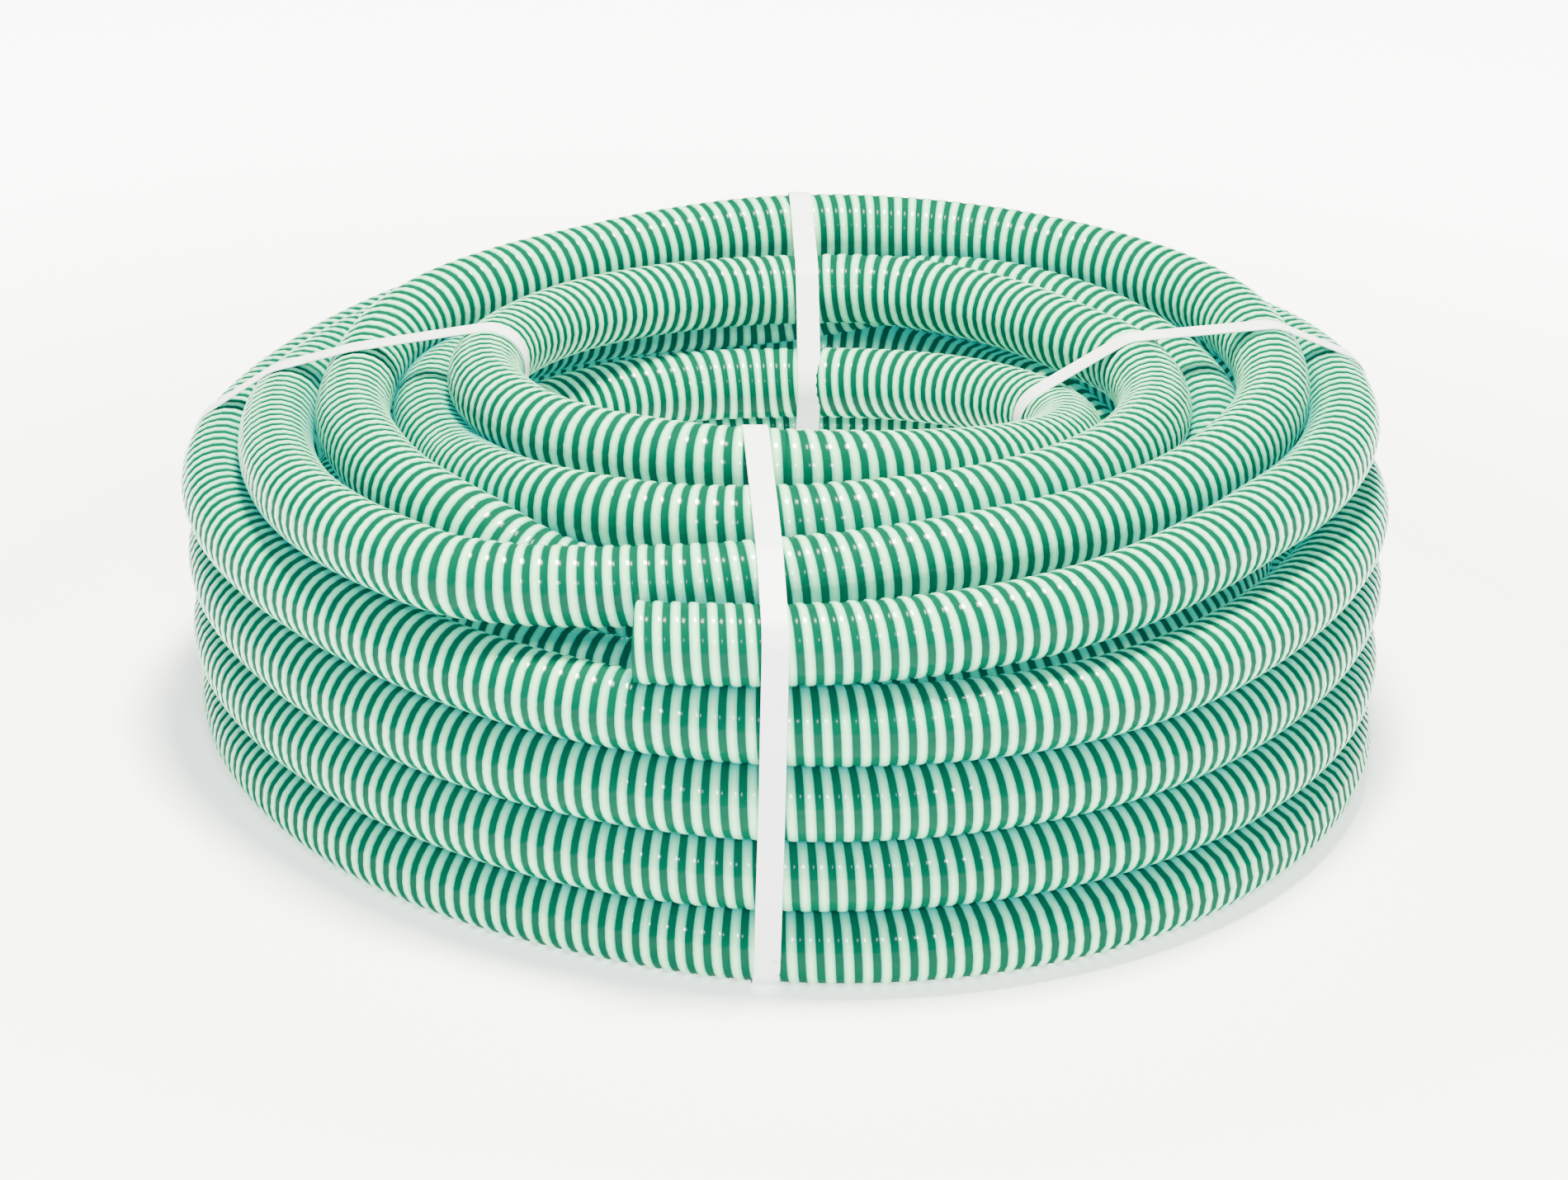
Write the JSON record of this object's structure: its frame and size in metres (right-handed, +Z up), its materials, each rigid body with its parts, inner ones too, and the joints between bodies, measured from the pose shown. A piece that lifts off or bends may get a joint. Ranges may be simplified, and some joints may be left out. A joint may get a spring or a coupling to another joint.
{
  "type": "corrugated pvc hose coil",
  "caption": "Flat coil of green and white spiral PVC suction hose, tied with plastic straps, with one free end on top.",
  "frame": {"origin": "on the ground under the middle of the coil, at the centre of the box's base", "axes": "+Z up along the coil's axis, -Y towards the side with the hose's free end, +X to the right seen from there"},
  "size_m": [0.5734, 0.5763, 0.2126],
  "materials": {
    "hose": "glossy flexible PVC, white rigid spiral rib with a translucent emerald green web between its turns",
    "strap": "white embossed polypropylene band, satin"
  },
  "bodies": {
    "root": {"hose_coil": "hose", "hose_top_turn": "hose", "strap_front": "strap", "strap_right": "strap", "strap_back": "strap", "strap_left": "strap"}
  },
  "joints": []
}
